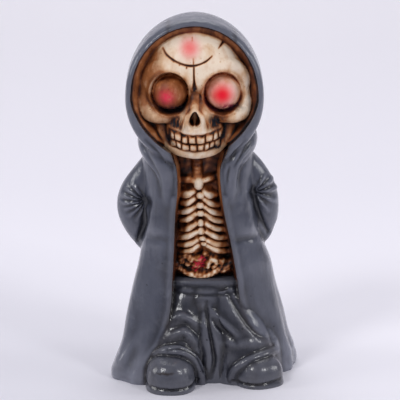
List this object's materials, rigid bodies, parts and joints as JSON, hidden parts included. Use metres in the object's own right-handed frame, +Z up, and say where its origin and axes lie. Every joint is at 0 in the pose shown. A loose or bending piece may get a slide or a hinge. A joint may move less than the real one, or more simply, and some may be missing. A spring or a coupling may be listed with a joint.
{
  "type": "skeleton figurine",
  "caption": "Small painted cast figurine: a skeleton in a hooded coat, trousers and shoes, standing on its own flat underside.",
  "frame": {"origin": "middle of the figure's footprint box, on the flat underside it stands on", "axes": "+Z up along the figure, -Y the way the face looks, +X to the viewer's right"},
  "size_m": [0.0618, 0.0476, 0.1199],
  "materials": {
    "painted_resin": "cast polyresin under satin slate grey paint on the cloth and shoes, and cream paint with a brown wash on the bones"
  },
  "bodies": {
    "root": {"skeleton_figurine": "painted_resin"}
  },
  "joints": []
}
